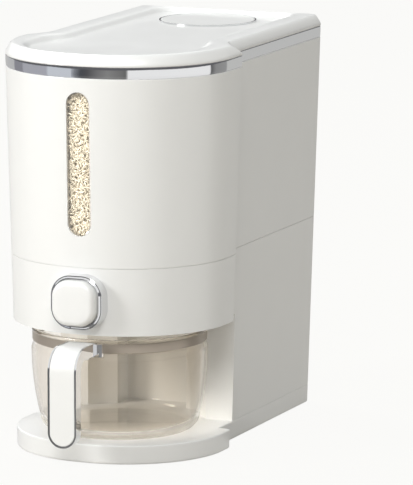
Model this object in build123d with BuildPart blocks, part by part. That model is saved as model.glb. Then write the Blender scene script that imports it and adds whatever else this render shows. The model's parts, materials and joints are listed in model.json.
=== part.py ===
from build123d import *
from math import atan2, cos, hypot, radians, tan
import os

os.makedirs("parts", exist_ok=True)

# Rice dispenser. +Z is up and the front faces -Y. The origin is on the ground, in the middle of the
# object's width and of its whole depth from the handle's front to the hinge barrel at the back.

# Outline at the lower edge of the chrome band
nose_width = 200.0
nose_length = 121.0
nose_front_flat = 10.0
rear_width = 177.0
rear_length = 213.0
step_corner_share = 0.348
step_root_share = 0.1304
rear_corner_radius = 8.0
least_corner_radius = 0.4
draft_angle = 1.42

# Heights above the ground
foot_height = 1.0
base_top_z = 17.3
nose_floor_z = 111.5
seam_z = 168.7
band_z = 329.4
band_height = 10.0

# Walls and general clearances
wall = 2.5
snug = 0.1
running_fit = 0.05
moving_gap = 0.4
lip_depth = 4.0
lip_thickness = 1.2
chrome_thickness = 1.2

# Lid
lid_edge_height = 1.2
lid_shoulder_height = 8.6
lid_crest_height = 10.0
lid_shoulder_inset = 4.4
lid_crest_inset = 6.2
lid_floor_height = 5.4
lid_well_inset = 7.4
lid_floor_inset = 9.4
lid_well_side_inset = 17.0
lid_well_ease = 9.0
lid_well_bend_share = 0.85
lid_skin = 2.4
crest_step_share = 0.487
crest_root_share = 0.4696
panel_thickness = 1.4
skirt_depth = 5.0
skirt_thickness = 1.6
lid_seal_clearance = 0.4
lid_seal_thickness = 1.6
lid_seal_height = 3.0
lid_seal_lift = 0.6

# Lid hinge
hinge_pin_radius = 1.5
hinge_barrel_radius = 3.2
hinge_offset = 3.5
hinge_width = 70.0
hinge_ear_width = 9.0
hinge_plate_height = 14.0
hinge_plate_thickness = 2.0
hinge_plate_drop = 2.0
hinge_arm_depth = 6.0
hinge_web_thickness = 2.2
hinge_screw_margin = 10.0
hinge_screw_lift = 5.0
hinge_screw_head_height = 1.2
hinge_screw_tip_gap = 0.3

# Round cover, ring, cup and sachet of the desiccant box
cover_radius = 41.6
ring_width = 1.3
cup_radius = 39.0
cup_depth = 24.0
cup_wall = 1.5
cup_flange = 1.2
cover_thickness = 1.4
cover_skirt_height = 6.0
cover_skirt_wall = 1.5
cover_gap = 0.3
cover_edge_fillet = 0.5
vent_radius = 1.6
vent_ring_pitch = 10.0
vent_ring_count = 3
first_ring_vent_count = 6
sachet_radius = 32.0
sachet_height = 14.0
sachet_edge_fillet = 5.6
cover_rear_margin = 1.0

# Hopper
hopper_gap = 1.0
hopper_wall = 1.8
hopper_flange = 1.6
hopper_slope = 27.0
hopper_side_slope = 30.0
hopper_cut_margin = 10.0
throat_width = 34.0
throat_depth = 30.0
throat_top_z = 156.0
throat_bottom_z = 127.1
funnel_joint_z = 190.0

# Window
window_width = 19.6
window_bottom_z = 196.2
window_top_z = 316.6
window_flange = 3.5
window_flange_thickness = 0.8
window_recess = 0.3
window_skin_margin = 12.0
seal_width = 1.5

# Jug, handle and niche
jug_axis_from_step = -34.0
jug_radius = 75.6
jug_foot_inset = 19.6
jug_side_foot_inset = 7.0
jug_side_foot_height = 12.5
jug_middle_inset = 2.4
jug_middle_height = 36.0
jug_shoulder_height = 70.0
jug_neck_inset = 2.2
jug_neck_height = 77.2
jug_height = 88.8
jug_lip_height = 3.0
jug_wall = 2.6
jug_bottom = 5.0
jug_lip_inset = 0.2
jug_bottom_run_in = 2.0
jug_heel_inset = 2.6
jug_heel_drop = 5.0
band_lift = 0.3
band_thickness = 1.4
niche_gap = 3.6
niche_wall_from_step = 22.0
channel_half_width = 34.0
channel_from_step = 61.0
handle_from_jug = 45.1
handle_width = 25.8
handle_thickness = 10.0
handle_top_z = 104.6
handle_low_z = 21.5
handle_bend_radius = 20.0
handle_rim = 1.3
inlay_thickness = 1.4
bracket_thickness = 3.2
bracket_half_width = 17.0
tongue_share = 0.53
tongue_thickness = 2.4
tongue_inset = 3.0
screw_radius = 1.5
handle_bore_depth = 6.0
handle_screw_reach = 5.5
handle_arm_root_gap = 0.6
inlay_root_gap = 1.5

# Button
button_z = 140.4
button_width = 45.6
button_height = 45.0
button_corner = 17.5
button_flare = 1.6
button_reach = 10.0
flare_run_in = 6.0
neck_start = 2.0
bezel_rim = 2.8
cap_proud = 8.0
cap_length = 19.4
cap_edge_fillet = 4.3
neck_inset = 0.8
neck_length = 17.5
guide_length = 24.0
guide_wall = 1.6
plunger_radius = 4.0
plunger_z = 147.0
spring_inner_radius = 4.6
spring_outer_radius = 6.4
clevis_width = 15.0
clevis_height = 11.0
clevis_length = 12.5
clevis_end_margin = 3.0
clevis_front_gap = 2.0
clevis_slot_drop = 2.2
clevis_slot_rise = 1.0

# Outlet flap and chute
flap_pivot_from_step = -65.0
flap_pivot_z = 124.5
flap_pin_radius = 1.2
flap_barrel_radius = 2.8
flap_width = 39.0
flap_thickness = 1.6
flap_overhang = 4.0
arm_width = 8.0
arm_thickness = 3.0
arm_top_margin = 2.6
peg_radius = 1.5
peg_end_inset = 0.5
chute_wall = 2.5
chute_half_width = 26.0
chute_bottom_z = 110.0
chute_wall_top_z = 121.0
chute_front_margin = 1.0
chute_back_margin = 3.5
ear_half_length = 6.0
ear_rise = 5.0
ear_front_margin = 1.0
chute_flange = 4.0
chute_flange_thickness = 1.6
outlet_seal_thickness = 1.0
outlet_seal_width = 3.0

# Base, its cover, feet and screws
cover_plate_thickness = 2.0
cover_plate_lift = 0.8
foot_radius = 8.0
foot_recess = 0.6
boss_radius = 4.5
boss_bore_radius = 1.45
boss_inset = 15.0
boss_end_wall = 3.0
front_boss_x = 30.0
front_boss_from_nose = 24.0
side_boss_margin = 21.0
middle_boss_from_step = 62.0
rear_boss_margin = 27.0
front_foot_x = 58.0
front_foot_from_nose = 66.0
side_foot_margin = 34.0
middle_foot_from_step = 85.0
rear_foot_margin = 36.0
screw_head_radius = 3.0
screw_head_height = 1.8
column_boss_height = 22.0
column_screw_end_gap = 4.0
column_rib_overlap = 5.5
column_rib_half = 1.0

# Values that follow from the driving dimensions
draft = tan(radians(draft_angle))
step_width = (nose_width - rear_width) / 2
nose_radius = (nose_width - nose_front_flat) / 2
step_corner_radius = step_width * step_corner_share
step_root_radius = step_width * step_root_share
crest_step_radius = step_width * crest_step_share
crest_root_radius = step_width * crest_root_share
jug_neck_radius = jug_radius - jug_neck_inset
jug_middle_radius = jug_radius - jug_middle_inset
jug_side_foot_radius = jug_radius - jug_side_foot_inset
jug_foot_radius = jug_radius - jug_foot_inset
handle_reach = jug_radius - jug_axis_from_step + handle_from_jug
band_top_z = band_z + band_height
hinge_reach = rear_length + draft * band_height + hinge_offset + hinge_barrel_radius
step_y = (handle_reach - hinge_reach) / 2
rear_y = step_y + rear_length
nose_front_y = step_y - nose_length
jug_y = step_y + jug_axis_from_step
niche_wall_y = step_y + niche_wall_from_step
niche_radius = jug_radius + niche_gap
reach = 2 * (nose_length + rear_length)


def outline(z, inset=0.0, corner=step_corner_radius, root=step_root_radius, side=0.0, ease=0.0):
    """Face of the whole outline at a height, a given distance inside the drafted outer surface."""
    shrink = draft * (band_z - z) + inset
    half_nose = nose_width / 2 - shrink - side
    half_rear = rear_width / 2 - shrink - side
    front = nose_front_y + shrink
    ledge = step_y - shrink
    back = rear_y - shrink
    nose = nose_radius - shrink - side
    convex = max(least_corner_radius, corner - inset)
    concave = root + min(inset, step_root_radius)
    back_radius = max(least_corner_radius, rear_corner_radius - inset + side)
    corners = [
        (-half_nose, front),
        (half_nose, front),
        (half_nose, ledge - ease),
        (half_rear, ledge + ease),
        (half_rear, back),
        (-half_rear, back),
        (-half_rear, ledge + ease),
        (-half_nose, ledge - ease),
    ]
    radii = [nose, nose, convex, concave, back_radius, back_radius, concave, convex]
    with BuildSketch(Plane.XY.offset(z)) as face:
        with BuildLine():
            FilletPolyline(corners, radius=radii, close=True)
        make_face()
    return face.sketch


def slab(low_z, high_z, inset=0.0):
    """Drafted block of the whole outline between two heights."""
    with BuildPart() as block:
        loft([outline(low_z, inset), outline(high_z, inset)], ruled=True)
    return block.part


def ring(low_z, high_z, outer_inset, inner_inset):
    """Drafted ring that follows the outline between two insets."""
    with BuildPart() as band:
        add(slab(low_z, high_z, outer_inset))
        add(slab(low_z - 1, high_z + 1, inner_inset), mode=Mode.SUBTRACT)
    return band.part


def layer(outer_inset, inner_inset):
    """Thin skin of the bin wall between two insets, where the window's pieces lie."""
    low_z = window_bottom_z - window_skin_margin
    high_z = window_top_z + window_skin_margin
    return ring(low_z, high_z, outer_inset, inner_inset)


def stadium(grow):
    """Upright slot shape of the window, grown by a distance, cut through the front wall."""
    length = window_top_z - window_bottom_z + 2 * grow
    centre_z = (window_top_z + window_bottom_z) / 2
    with BuildPart() as bar:
        with BuildSketch(Plane((0, step_y, centre_z), x_dir=(0, 0, 1), z_dir=(0, -1, 0))):
            SlotOverall(length, window_width + 2 * grow)
        extrude(amount=reach)
    return bar.part


def box(x_range, y_range, z_range):
    """Plain block between pairs of limits."""
    with BuildPart() as block:
        with Locations(((x_range[0] + x_range[1]) / 2, (y_range[0] + y_range[1]) / 2, z_range[0])):
            Box(
                x_range[1] - x_range[0],
                y_range[1] - y_range[0],
                z_range[1] - z_range[0],
                align=(Align.CENTER, Align.CENTER, Align.MIN),
            )
    return block.part


def niche(extra, low_z):
    """Space of the jug niche, grown by a wall: in front of the flat wall, round the jug, and the channel."""
    high_z = nose_floor_z + extra
    with BuildPart() as space:
        add(box((-reach, reach), (-reach, niche_wall_y + extra), (low_z, high_z)))
        with BuildSketch(Plane.XY.offset(low_z)):
            with Locations((0, jug_y)):
                Circle(niche_radius + extra)
        extrude(amount=high_z - low_z)
        half = channel_half_width + extra
        add(box((-half, half), (jug_y, step_y + channel_from_step + extra), (low_z, high_z)))
    return space.part


def rod(start, end, radius):
    """Round rod between two points."""
    axis = Vector(*end) - Vector(*start)
    with BuildPart() as bar:
        with BuildSketch(Plane(origin=start, z_dir=axis)):
            Circle(radius)
        extrude(amount=axis.length)
    return bar.part


# Base tray
inner_floor_z = base_top_z - wall
boss_spots = []
for side in (-1, 1):
    boss_spots.append((side * front_boss_x, nose_front_y + front_boss_from_nose))
    boss_spots.append((side * (rear_width / 2 - side_boss_margin), step_y + middle_boss_from_step))
    boss_spots.append((side * (rear_width / 2 - side_boss_margin), rear_y - rear_boss_margin))
cover_low_z = foot_height + cover_plate_lift
cover_high_z = cover_low_z + cover_plate_thickness

column_spots = []
for side in (-1, 1):
    column_spots.append((side * (rear_width / 2 - boss_inset), step_y + niche_wall_from_step + boss_inset))
    column_spots.append((side * (rear_width / 2 - boss_inset), rear_y - boss_inset))

with BuildPart() as base_tray:
    add(slab(foot_height, base_top_z))
    add(slab(foot_height - 1, inner_floor_z, wall), mode=Mode.SUBTRACT)
    with BuildSketch(Plane.XY.offset(cover_high_z)):
        with Locations(boss_spots):
            Circle(boss_radius)
    extrude(amount=inner_floor_z - cover_high_z + 1)
    with BuildSketch(Plane.XY.offset(cover_high_z)):
        with Locations(boss_spots):
            Circle(boss_bore_radius + running_fit)
    extrude(amount=inner_floor_z - cover_high_z - boss_end_wall + 1, mode=Mode.SUBTRACT)
    with BuildSketch(Plane.XY.offset(inner_floor_z - 1)):
        with Locations(column_spots):
            Circle(screw_radius + snug)
    extrude(amount=wall + 2, mode=Mode.SUBTRACT)
base_tray.part.label = "base_tray"
export_step(base_tray.part, "parts/base_tray.step")

# Base cover, with recesses for the feet
foot_spots = []
for side in (-1, 1):
    foot_spots.append((side * front_foot_x, nose_front_y + front_foot_from_nose))
    foot_spots.append((side * (rear_width / 2 - side_foot_margin), step_y + middle_foot_from_step))
    foot_spots.append((side * (rear_width / 2 - side_foot_margin), rear_y - rear_foot_margin))

with BuildPart() as base_cover:
    add(slab(cover_low_z, cover_high_z, wall + snug))
    with BuildSketch(Plane.XY.offset(cover_low_z)):
        with Locations(foot_spots):
            Circle(foot_radius)
    extrude(amount=foot_recess, mode=Mode.SUBTRACT)
    with BuildSketch(Plane.XY.offset(cover_low_z)):
        with Locations(boss_spots):
            Circle(boss_bore_radius + running_fit)
    extrude(amount=cover_plate_thickness, mode=Mode.SUBTRACT)
base_cover.part.label = "base_cover"
export_step(base_cover.part, "parts/base_cover.step")

# Rubber feet
with BuildPart() as rubber_feet:
    with BuildSketch(Plane.XY):
        with Locations(foot_spots):
            Circle(foot_radius)
    extrude(amount=cover_low_z + foot_recess)
rubber_feet.part.label = "rubber_feet"
export_step(rubber_feet.part, "parts/rubber_feet.step")

# Screws that hold the base cover, heads under the cover
screw_tip_z = inner_floor_z - boss_end_wall
with BuildPart() as base_screws:
    with BuildSketch(Plane.XY.offset(foot_height)):
        with Locations(boss_spots):
            Circle(screw_head_radius)
    extrude(amount=cover_low_z - foot_height)
    with BuildSketch(Plane.XY.offset(cover_low_z)):
        with Locations(boss_spots):
            Circle(boss_bore_radius)
    extrude(amount=screw_tip_z - cover_low_z)
base_screws.part.label = "base_screws"
export_step(base_screws.part, "parts/base_screws.step")

# Lower housing: rear column, niche walls, nose floor and nose up to the seam
floor_top_z = nose_floor_z + wall
pivot_y = step_y + flap_pivot_from_step
chute_front_y = pivot_y - flap_barrel_radius - chute_wall - chute_front_margin
chute_back_y = jug_y + throat_depth / 2 + flap_overhang + chute_wall + chute_back_margin

with BuildPart() as lower_void:
    add(slab(base_top_z - 1, seam_z + 1, wall))
    add(niche(wall, base_top_z - 2), mode=Mode.SUBTRACT)

button_hole_width = button_width - 2 * neck_inset + 2 * snug
button_hole_height = button_height - 2 * neck_inset + 2 * snug

with BuildPart() as lower_housing:
    add(slab(base_top_z, seam_z))
    add(niche(0, base_top_z - 1), mode=Mode.SUBTRACT)
    add(lower_void.part, mode=Mode.SUBTRACT)
    with BuildSketch(Plane((0, step_y, button_z), x_dir=(1, 0, 0), z_dir=(0, -1, 0))):
        RectangleRounded(button_hole_width, button_hole_height, button_corner - neck_inset + snug)
    extrude(amount=reach, mode=Mode.SUBTRACT)
    half_hole = chute_half_width + snug
    hole_y = (chute_front_y - snug, chute_back_y + snug)
    add(box((-half_hole, half_hole), hole_y, (nose_floor_z - 1, floor_top_z + 1)), mode=Mode.SUBTRACT)
    with BuildSketch(Plane.XY.offset(base_top_z)):
        with Locations(column_spots):
            Circle(boss_radius)
    extrude(amount=column_boss_height)
    for side in (-1, 1):
        rib_x = (side * (rear_width / 2 - boss_inset), side * (rear_width / 2 - wall - column_rib_overlap))
        for rib_y in (column_spots[0][1], column_spots[1][1]):
            rib_z = (base_top_z, base_top_z + column_boss_height)
            rib_range = (rib_y - column_rib_half, rib_y + column_rib_half)
            add(box((min(rib_x), max(rib_x)), rib_range, rib_z))
    with BuildSketch(Plane.XY.offset(base_top_z)):
        with Locations(column_spots):
            Circle(screw_radius + running_fit)
    extrude(amount=column_boss_height - boss_end_wall, mode=Mode.SUBTRACT)
lower_housing.part.label = "lower_housing"
export_step(lower_housing.part, "parts/lower_housing.step")

# Screws from the base tray up into the rear column
column_screw_top_z = base_top_z + column_boss_height - column_screw_end_gap
with BuildPart() as column_screws:
    with BuildSketch(Plane.XY.offset(inner_floor_z - screw_head_height)):
        with Locations(column_spots):
            Circle(screw_head_radius)
    extrude(amount=screw_head_height)
    with BuildSketch(Plane.XY.offset(inner_floor_z)):
        with Locations(column_spots):
            Circle(screw_radius)
    extrude(amount=column_screw_top_z - inner_floor_z)
column_screws.part.label = "column_screws"
export_step(column_screws.part, "parts/column_screws.step")

# Upper housing: the bin's shell, a locating lip below the seam and a collar inside the chrome band
collar_top_z = band_top_z - hopper_flange - moving_gap
lip_inset = wall + 2 * snug

with BuildPart() as upper_housing:
    add(ring(seam_z, band_z, 0, wall))
    add(ring(seam_z, seam_z + lip_depth, wall - snug, lip_inset + lip_thickness))
    add(ring(seam_z - lip_depth, seam_z + 1, lip_inset, lip_inset + lip_thickness))
    add(ring(band_z, collar_top_z, chrome_thickness + snug, wall))
    add(stadium(2 * snug), mode=Mode.SUBTRACT)
upper_housing.part.label = "upper_housing"
export_step(upper_housing.part, "parts/upper_housing.step")

# Chrome band round the top rim
with BuildPart() as chrome_band:
    add(ring(band_z, band_top_z, 0, chrome_thickness))
chrome_band.part.label = "chrome_band"
export_step(chrome_band.part, "parts/chrome_band.step")

# Hopper: its room above the sloped floor is cut out of a block of the same form, one wall larger
hopper_inset = wall + hopper_gap
hopper_top_z = collar_top_z + hopper_flange
rise = tan(radians(hopper_slope))
side_rise = tan(radians(hopper_side_slope))


def funnel_side(grow):
    """Side view of the hopper's room: a floor that falls from front and back to the throat."""
    lift = grow / cos(radians(hopper_slope))
    front = jug_y - throat_depth / 2 - grow
    back = jug_y + throat_depth / 2 + grow
    high = hopper_top_z + hopper_cut_margin
    with BuildPart() as wedge:
        with BuildSketch(Plane.YZ):
            with BuildLine():
                Polyline(
                    (front, throat_bottom_z),
                    (back, throat_bottom_z),
                    (back, throat_top_z - lift + grow * rise),
                    (back + reach, throat_top_z - lift + (grow + reach) * rise),
                    (back + reach, high + reach),
                    (front - reach, high + reach),
                    (front - reach, throat_top_z - lift + (grow + reach) * rise),
                    (front, throat_top_z - lift + grow * rise),
                    close=True,
                )
            make_face()
        extrude(amount=reach, both=True)
    return wedge.part


def funnel_front(grow):
    """Front view of the hopper's room: a floor that falls from both sides to the throat."""
    lift = grow / cos(radians(hopper_side_slope))
    half = throat_width / 2 + grow
    high = hopper_top_z + hopper_cut_margin
    corner_z = throat_top_z - lift + grow * side_rise
    far_z = corner_z + reach * side_rise
    with BuildPart() as wedge:
        with BuildSketch(Plane.XZ):
            with BuildLine():
                Polyline(
                    (-half, throat_bottom_z),
                    (half, throat_bottom_z),
                    (half, corner_z),
                    (half + reach, far_z),
                    (half + reach, high + reach),
                    (-half - reach, high + reach),
                    (-half - reach, far_z),
                    (-half, corner_z),
                    close=True,
                )
            make_face()
        extrude(amount=reach, both=True)
    return wedge.part


def hopper_room(grow, high_z):
    """Drafted room above the sloped floor, grown outward by a wall."""
    with BuildPart() as room:
        add(slab(throat_bottom_z, high_z, hopper_inset + hopper_wall - grow))
        add(funnel_side(grow), mode=Mode.INTERSECT)
        add(funnel_front(grow), mode=Mode.INTERSECT)
    return room.part


with BuildPart() as whole_hopper:
    add(hopper_room(hopper_wall, hopper_top_z))
    add(slab(collar_top_z, hopper_top_z, chrome_thickness + 2 * snug))
    add(hopper_room(0, hopper_top_z + 2), mode=Mode.SUBTRACT)
    add(box((-throat_width / 2, throat_width / 2),
            (jug_y - throat_depth / 2, jug_y + throat_depth / 2),
            (throat_bottom_z - 1, throat_top_z)), mode=Mode.SUBTRACT)
    add(stadium(seal_width + snug), mode=Mode.SUBTRACT)

# The hopper's upper part, and the funnel that is bonded under it
whole_range = (-reach, reach)
with BuildPart() as hopper:
    add(whole_hopper.part)
    add(box(whole_range, whole_range, (throat_bottom_z - 1, funnel_joint_z)), mode=Mode.SUBTRACT)
hopper.part.label = "hopper"
export_step(hopper.part, "parts/hopper.step")

with BuildPart() as hopper_funnel:
    add(whole_hopper.part)
    add(box(whole_range, whole_range, (funnel_joint_z, hopper_top_z + 1)), mode=Mode.SUBTRACT)
hopper_funnel.part.label = "hopper_funnel"
export_step(hopper_funnel.part, "parts/hopper_funnel.step")

# Window lens: flush front panel with a flange behind the bin's wall
flange_outer = wall + snug
flange_inner = flange_outer + window_flange_thickness

with BuildPart() as lens_flange:
    add(layer(flange_outer, flange_inner))
    add(stadium(window_flange), mode=Mode.INTERSECT)

with BuildPart() as window_lens:
    add(layer(window_recess, flange_inner))
    add(stadium(0), mode=Mode.INTERSECT)
    add(lens_flange.part)
window_lens.part.label = "window_lens"
export_step(window_lens.part, "parts/window_lens.step")

# Window seal in the hopper's slot, against the lens
with BuildPart() as window_seal:
    add(layer(flange_inner + snug, hopper_inset + hopper_wall))
    add(stadium(seal_width), mode=Mode.INTERSECT)
    add(stadium(0), mode=Mode.SUBTRACT)
window_seal.part.label = "window_seal"
export_step(window_seal.part, "parts/window_seal.step")

# Seal round the throat's mouth, which the flap closes against
seal_half_width = throat_width / 2 + outlet_seal_width
seal_half_depth = throat_depth / 2 + outlet_seal_width
flap_top_z = throat_bottom_z - outlet_seal_thickness
with BuildPart() as outlet_seal:
    with BuildSketch(Plane.XY.offset(flap_top_z)):
        with Locations((0, jug_y)):
            Rectangle(2 * seal_half_width, 2 * seal_half_depth)
            Rectangle(throat_width, throat_depth, mode=Mode.SUBTRACT)
    extrude(amount=outlet_seal_thickness)
outlet_seal.part.label = "outlet_seal"
export_step(outlet_seal.part, "parts/outlet_seal.step")

# Outlet chute in the nose floor, with ears for the flap's pin
ear_top_z = flap_pivot_z + ear_rise
inner_half = chute_half_width - chute_wall

with BuildPart() as outlet_chute:
    chute_y = (chute_front_y, chute_back_y)
    flange_y = (chute_front_y - chute_flange, chute_back_y + chute_flange)
    flange_half = chute_half_width + chute_flange
    add(box((-chute_half_width, chute_half_width), chute_y, (chute_bottom_z, chute_wall_top_z)))
    add(box((-flange_half, flange_half), flange_y, (floor_top_z, floor_top_z + chute_flange_thickness)))
    for side in (-1, 1):
        ear_x = (side * inner_half, side * chute_half_width)
        ear_y = (pivot_y - flap_barrel_radius - ear_front_margin, pivot_y + ear_half_length)
        add(box((min(ear_x), max(ear_x)), ear_y, (chute_wall_top_z - 1, ear_top_z)))
    room_y = (chute_front_y + chute_wall, chute_back_y - chute_wall)
    add(box((-inner_half, inner_half), room_y, (chute_bottom_z - 1, ear_top_z + 1)), mode=Mode.SUBTRACT)
    pin_line = ((-reach, pivot_y, flap_pivot_z), (reach, pivot_y, flap_pivot_z))
    pin_hole = rod(pin_line[0], pin_line[1], flap_pin_radius + running_fit)
    add(pin_hole, mode=Mode.SUBTRACT)
outlet_chute.part.label = "outlet_chute"
export_step(outlet_chute.part, "parts/outlet_chute.step")

# Flap pin, held in the chute's ears
with BuildPart() as flap_pin:
    pin_ends = ((-chute_half_width, pivot_y, flap_pivot_z), (chute_half_width, pivot_y, flap_pivot_z))
    add(rod(pin_ends[0], pin_ends[1], flap_pin_radius))
flap_pin.part.label = "flap_pin"
export_step(flap_pin.part, "parts/flap_pin.step")

# Outlet flap: plate, barrel on the pin, arm with a peg that the plunger carries
flap_back_y = jug_y + throat_depth / 2 + flap_overhang
arm_top_z = plunger_z + arm_top_margin
peg_half = clevis_width / 2 - peg_end_inset

with BuildPart() as outlet_flap:
    flap_y = (pivot_y, flap_back_y)
    add(box((-flap_width / 2, flap_width / 2), flap_y, (flap_top_z - flap_thickness, flap_top_z)))
    barrel_half = inner_half - moving_gap
    add(rod((-barrel_half, pivot_y, flap_pivot_z), (barrel_half, pivot_y, flap_pivot_z), flap_barrel_radius))
    arm_y = (pivot_y - arm_thickness / 2, pivot_y + arm_thickness / 2)
    add(box((-arm_width / 2, arm_width / 2), arm_y, (flap_pivot_z, arm_top_z)))
    add(rod((-peg_half, pivot_y, plunger_z), (peg_half, pivot_y, plunger_z), peg_radius))
    add(pin_hole, mode=Mode.SUBTRACT)
outlet_flap.part.label = "outlet_flap"
export_step(outlet_flap.part, "parts/outlet_flap.step")

# Button bezel: flared chrome surround with a neck through the wall and a bore for the cap
button_front_y = nose_front_y + draft * (band_z - button_z) - button_reach
button_plane = Plane((0, button_front_y, button_z), x_dir=(1, 0, 0), z_dir=(0, 1, 0))
bore_width = button_width - 2 * bezel_rim
bore_height = button_height - 2 * bezel_rim
bore_corner = button_corner - bezel_rim

with BuildPart() as bezel_flare:
    flare_depth = button_reach + flare_run_in
    flare = button_flare * flare_depth / button_reach
    with BuildSketch(button_plane):
        RectangleRounded(button_width, button_height, button_corner)
    with BuildSketch(button_plane.offset(flare_depth)):
        RectangleRounded(button_width + 2 * flare, button_height + 2 * flare, button_corner + flare)
    loft(ruled=True)
    add(slab(nose_floor_z, seam_z, -running_fit), mode=Mode.SUBTRACT)

with BuildPart() as button_bezel:
    with BuildSketch(button_plane.offset(neck_start)):
        RectangleRounded(
            button_width - 2 * neck_inset, button_height - 2 * neck_inset, button_corner - neck_inset
        )
    extrude(amount=neck_length - neck_start)
    add(bezel_flare.part)
    with BuildSketch(button_plane.offset(-1)):
        RectangleRounded(bore_width, bore_height, bore_corner)
    extrude(amount=neck_length + 2, mode=Mode.SUBTRACT)
button_bezel.part.label = "button_bezel"
export_step(button_bezel.part, "parts/button_bezel.step")

# Button cap, which slides in the bezel's bore
with BuildPart() as button_cap:
    with BuildSketch(button_plane.offset(-cap_proud)):
        RectangleRounded(
            bore_width - 2 * moving_gap, bore_height - 2 * moving_gap, bore_corner - moving_gap
        )
    extrude(amount=cap_length)
    front_rim = button_cap.faces().sort_by(Axis.Y)[0].edges()
    fillet(front_rim, cap_edge_fillet)
button_cap.part.label = "button_cap"
export_step(button_cap.part, "parts/button_cap.step")

# Button guide: open cage behind the bezel, with a bored end plate that seats the spring
neck_end_y = button_front_y + neck_length
guide_plane = Plane((0, neck_end_y, button_z), x_dir=(1, 0, 0), z_dir=(0, 1, 0))
with BuildPart() as button_guide:
    with BuildSketch(guide_plane):
        RectangleRounded(
            button_width - 2 * neck_inset, button_height - 2 * neck_inset, button_corner - neck_inset
        )
    extrude(amount=guide_length)
    with BuildSketch(guide_plane):
        RectangleRounded(bore_width, bore_height, bore_corner)
    extrude(amount=guide_length - guide_wall, mode=Mode.SUBTRACT)
    guide_end_y = neck_end_y + guide_length
    bore_ends = ((0, neck_end_y, plunger_z), (0, guide_end_y + 1, plunger_z))
    add(rod(bore_ends[0], bore_ends[1], plunger_radius + running_fit), mode=Mode.SUBTRACT)
button_guide.part.label = "button_guide"
export_step(button_guide.part, "parts/button_guide.step")

# Button plunger: rod from the cap, with a slotted clevis that carries the arm's peg
cap_back_y = button_front_y - cap_proud + cap_length
clevis_end_y = pivot_y + peg_radius + clevis_end_margin
clevis_y = (clevis_end_y - clevis_length, clevis_end_y)
slot_width = 2 * (peg_radius + moving_gap)

with BuildPart() as button_plunger:
    add(rod((0, cap_back_y, plunger_z), (0, clevis_y[0] + 1, plunger_z), plunger_radius))
    clevis_z = (plunger_z - clevis_height / 2, plunger_z + clevis_height / 2)
    add(box((-clevis_width / 2, clevis_width / 2), clevis_y, clevis_z))
    cheek = arm_width / 2 + moving_gap
    gap_front_y = pivot_y - arm_thickness / 2 - clevis_front_gap
    add(box((-cheek, cheek), (gap_front_y, clevis_y[1] + 1), (clevis_z[0] - 1, clevis_z[1] + 1)),
        mode=Mode.SUBTRACT)
    slot_y = (pivot_y - slot_width / 2, pivot_y + slot_width / 2)
    slot_z = (plunger_z - peg_radius - clevis_slot_drop, plunger_z + peg_radius + clevis_slot_rise)
    add(box((-clevis_width, clevis_width), slot_y, slot_z), mode=Mode.SUBTRACT)
button_plunger.part.label = "button_plunger"
export_step(button_plunger.part, "parts/button_plunger.step")

# Return spring, as a sleeve round the plunger
spring_end_y = guide_end_y - guide_wall
with BuildPart() as return_spring:
    add(rod((0, cap_back_y, plunger_z), (0, spring_end_y, plunger_z), spring_outer_radius))
    add(rod((0, cap_back_y - 1, plunger_z), (0, spring_end_y + 1, plunger_z), spring_inner_radius),
        mode=Mode.SUBTRACT)
return_spring.part.label = "return_spring"
export_step(return_spring.part, "parts/return_spring.step")

# Lid: raised rounded rim round a recessed floor, with the hinge knuckle at the back
lid_z = band_top_z
lid_floor_z = lid_z + lid_floor_height
hinge_y = rear_y + draft * band_height + hinge_offset
knuckle_half = hinge_width / 2 - hinge_ear_width - moving_gap
cover_y = rear_y + draft * band_height - lid_floor_inset - cover_rear_margin - cover_radius - ring_width
ring_outer = cover_radius + ring_width


def rim_outline(height, inset):
    """Outline of the lid at a height above its lower edge, with the steps eased on the crest."""
    share = min(1.0, inset / lid_crest_inset)
    corner = inset + step_corner_radius + (crest_step_radius - step_corner_radius) * share
    root = step_root_radius + (crest_root_radius - step_root_radius) * share
    return outline(lid_z + height, inset, corner, root - min(inset, step_root_radius))


def disc(radius, low_z, high_z):
    """Round block on the axis of the lid's cover."""
    return rod((0, cover_y, low_z), (0, cover_y, high_z), radius)


well_step = (nose_width - rear_width) / 2
well_bend = atan2(well_step, 2 * lid_well_ease)
well_tangent = lid_well_bend_share * hypot(well_step, 2 * lid_well_ease) / 2
well_bend_radius = well_tangent / tan(well_bend / 2)


def well_outline(height, inset):
    """Outline of the lid's well, narrower than the rim, with its steps drawn out into soft bends."""
    root = well_bend_radius - min(inset, step_root_radius)
    corner = well_bend_radius + inset
    return outline(lid_z + height, inset, corner, root, lid_well_side_inset, lid_well_ease)


well_low = well_outline(lid_floor_height, lid_floor_inset)
well_high = well_outline(lid_crest_height + 1, lid_well_inset - 1)
with BuildPart() as lid_well:
    loft([well_low, well_high], ruled=True)

shoulder = rim_outline(lid_shoulder_height, lid_shoulder_inset)
crest = rim_outline(lid_crest_height, lid_crest_inset)

with BuildPart() as lid:
    loft([rim_outline(0, 0), rim_outline(lid_edge_height, 0)], ruled=True)
    loft([rim_outline(lid_edge_height, 0), shoulder], ruled=True)
    loft([shoulder, crest], ruled=True)
    add(lid_well.part, mode=Mode.SUBTRACT)
    add(slab(lid_z - 1, lid_floor_z - lid_skin, wall), mode=Mode.SUBTRACT)
    add(disc(ring_outer + snug, lid_floor_z - cup_flange - snug, lid_floor_z + 1), mode=Mode.SUBTRACT)
    add(disc(cup_radius + snug, lid_z, lid_floor_z + 1), mode=Mode.SUBTRACT)
    web_y = (rear_y - wall + 1, hinge_y)
    web_z = (lid_z + moving_gap, lid_z + moving_gap + hinge_web_thickness)
    add(box((-knuckle_half, knuckle_half), web_y, web_z))
    add(rod((-knuckle_half, hinge_y, lid_z), (knuckle_half, hinge_y, lid_z), hinge_barrel_radius))
    hinge_bore = rod((-reach, hinge_y, lid_z), (reach, hinge_y, lid_z), hinge_pin_radius + running_fit)
    add(hinge_bore, mode=Mode.SUBTRACT)
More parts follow.
